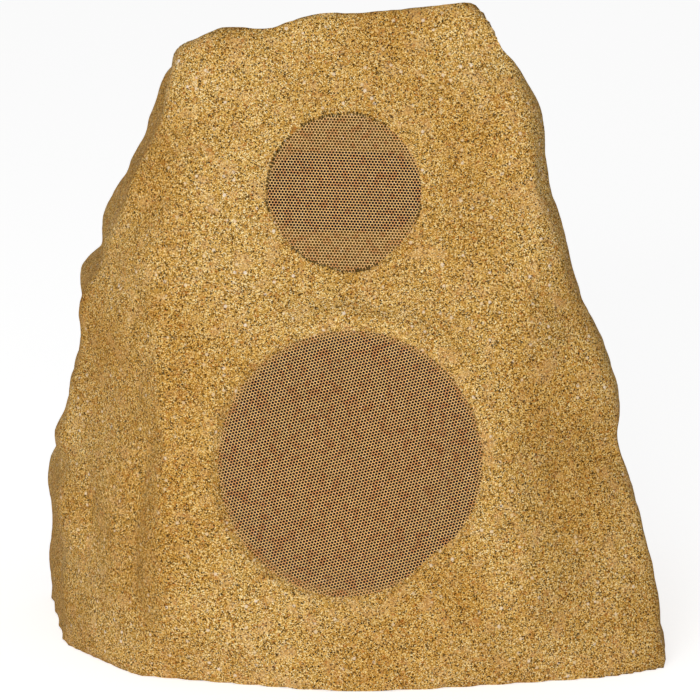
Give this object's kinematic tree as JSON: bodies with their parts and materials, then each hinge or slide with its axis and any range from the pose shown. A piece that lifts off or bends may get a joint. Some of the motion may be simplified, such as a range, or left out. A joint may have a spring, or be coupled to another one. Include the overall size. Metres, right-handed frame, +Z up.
{
  "type": "rock shaped garden speaker",
  "caption": "Rock shaped outdoor speaker with a sandstone finish, a woofer behind a large flush perforated disc and tweeters behind a smaller disc above it.",
  "frame": {"origin": "on the ground, under the middle of the whole part's box", "axes": "+Z up; the grilles face -Y; +X is the viewer's right when facing the grilles"},
  "size_m": [0.3482, 0.2874, 0.3552],
  "materials": {
    "sandstone": "rough sandstone coat with pale, brown and dark flecks",
    "grille_sheet": "satin stone-coloured perforated sheet",
    "base_plastic": "fine moulded grain",
    "seal_rubber": "closed-cell foam rubber",
    "screw_steel": "stainless",
    "frame_steel": "black powder coat",
    "surround_rubber": "smooth matt rubber",
    "cone_paper": "doped paper pulp",
    "coil_metal": "wound copper wire",
    "spider_cloth": "resin treated cloth",
    "motor_steel": "zinc plated",
    "magnet_ferrite": "ground ferrite",
    "driver_plastic": "moulded, satin",
    "diaphragm_film": "thin silvery film",
    "board_laminate": "varnished laminate",
    "component_case": "dipped and moulded cases",
    "terminal_plastic": "moulded terminal block",
    "tag_board": "bonded fibre board",
    "lead_sheath": "flexible sheath",
    "gland_nylon": "moulded nylon",
    "resistor_ceramic": "fired matt",
    "damping_fleece": "matted fibre"
  },
  "bodies": {
    "cabinet": {"rock_shell": "sandstone", "base_plate": "base_plastic", "base_seal": "seal_rubber", "base_screws": "screw_steel", "woofer_grille": "grille_sheet", "tweeter_grille": "grille_sheet", "woofer_gasket": "seal_rubber", "woofer_frame": "frame_steel", "woofer_terminals": "tag_board", "woofer_surround": "surround_rubber", "woofer_spider": "spider_cloth", "woofer_top_plate": "motor_steel", "woofer_magnet": "magnet_ferrite", "woofer_yoke": "motor_steel", "tweeter_plate": "driver_plastic", "left_tweeter_diaphragm": "diaphragm_film", "left_tweeter_motor": "driver_plastic", "left_tweeter_lead": "lead_sheath", "right_tweeter_diaphragm": "diaphragm_film", "right_tweeter_motor": "driver_plastic", "right_tweeter_lead": "lead_sheath", "crossover_board": "board_laminate", "board_supports": "driver_plastic", "crossover_chokes": "coil_metal", "crossover_capacitors": "component_case", "crossover_resistors": "resistor_ceramic", "input_terminals": "terminal_plastic", "woofer_lead": "lead_sheath", "gland_body": "gland_nylon", "gland_locknut": "gland_nylon", "gland_cap": "gland_nylon", "damping_pad": "damping_fleece"},
    "woofer_cone_assembly": {"woofer_cone": "cone_paper", "woofer_dust_cap": "cone_paper", "woofer_voice_coil": "coil_metal"}
  },
  "joints": [
    {"name": "woofer_cone_travel", "type": "slide", "parent": "cabinet", "child": "woofer_cone_assembly", "axis": [0, -0.9903, 0.1392], "range_m": [-0.003, 0.003], "stiffness_N_per_m": 1000, "deforming": ["woofer_surround", "woofer_spider"]}
  ]
}
